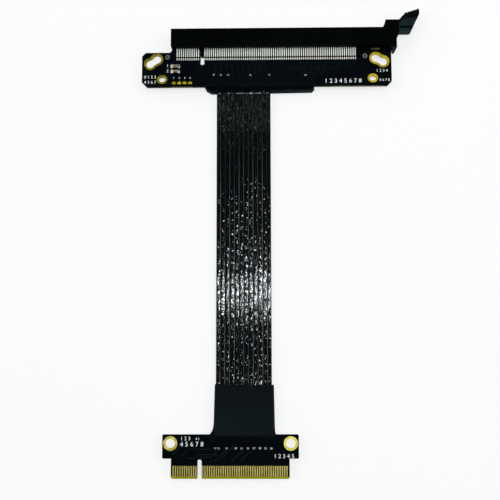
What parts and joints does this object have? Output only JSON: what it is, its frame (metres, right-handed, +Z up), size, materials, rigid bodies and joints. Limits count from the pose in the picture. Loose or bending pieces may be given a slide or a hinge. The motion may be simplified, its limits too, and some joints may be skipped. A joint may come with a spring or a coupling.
{
  "type": "slot extension cable",
  "caption": "Flat shielded ribbon cable with a long latched card slot on a circuit board at one end and a short board with gold edge fingers at the other.",
  "frame": {"origin": "on the resting face of the slot housing, on the ribbons' centre line and at the middle of the housing's depth", "axes": "+X along the card slot towards its latch, +Y out of the slot's mouth and away from the edge fingers, +Z up from the surface it lies on"},
  "size_m": [0.1292, 0.2136, 0.0076],
  "materials": {
    "housing_plastic": "moulded, slight sheen",
    "latch_plastic": "moulded, dull",
    "contact_metal": "plated",
    "tinned_copper": "bright tin",
    "board_laminate": "black solder mask",
    "gold_plating": "gold plate",
    "capacitor_ceramic": "tan ceramic",
    "solder": "solder",
    "clip_brass": "stamped",
    "film_black": "dull tape",
    "film_grey": "smooth film",
    "ribbon_jacket": "glossy film jacket",
    "shield_foil": "foil",
    "conductor_copper": "bare conductor",
    "wrap_sleeve": "matte woven sleeve",
    "finger_gold": "hard gold"
  },
  "bodies": {
    "extension": {"slot_housing": "housing_plastic", "slot_contacts_front": "contact_metal", "slot_contacts_back": "contact_metal", "slot_lands_front": "tinned_copper", "slot_lands_back": "tinned_copper", "slot_board": "board_laminate", "large_hole_plating": "gold_plating", "small_hole_plating": "gold_plating", "placement_marks": "tinned_copper", "header_spots": "gold_plating", "capacitor_bodies": "capacitor_ceramic", "capacitor_caps": "solder", "capacitor_solder": "solder", "hold_down_clips": "clip_brass", "front_film": "film_black", "backing_film": "film_grey", "ribbon_upper": "ribbon_jacket", "ribbon_lower": "ribbon_jacket", "foil_ends_upper": "shield_foil", "foil_ends_lower": "shield_foil", "conductors_upper": "conductor_copper", "conductors_lower": "conductor_copper", "edge_wrap": "wrap_sleeve", "edge_board": "board_laminate", "edge_hole_plating": "gold_plating", "edge_fingers_front": "finger_gold", "edge_fingers_back": "finger_gold"},
    "latch": {"retention_latch": "latch_plastic"}
  },
  "joints": [
    {"name": "latch_hinge", "type": "hinge", "parent": "extension", "child": "latch", "pos_m": [0.0688, -0.0005, 0.0038], "axis": [0, 0, 1], "range_deg": [0, 25]}
  ]
}
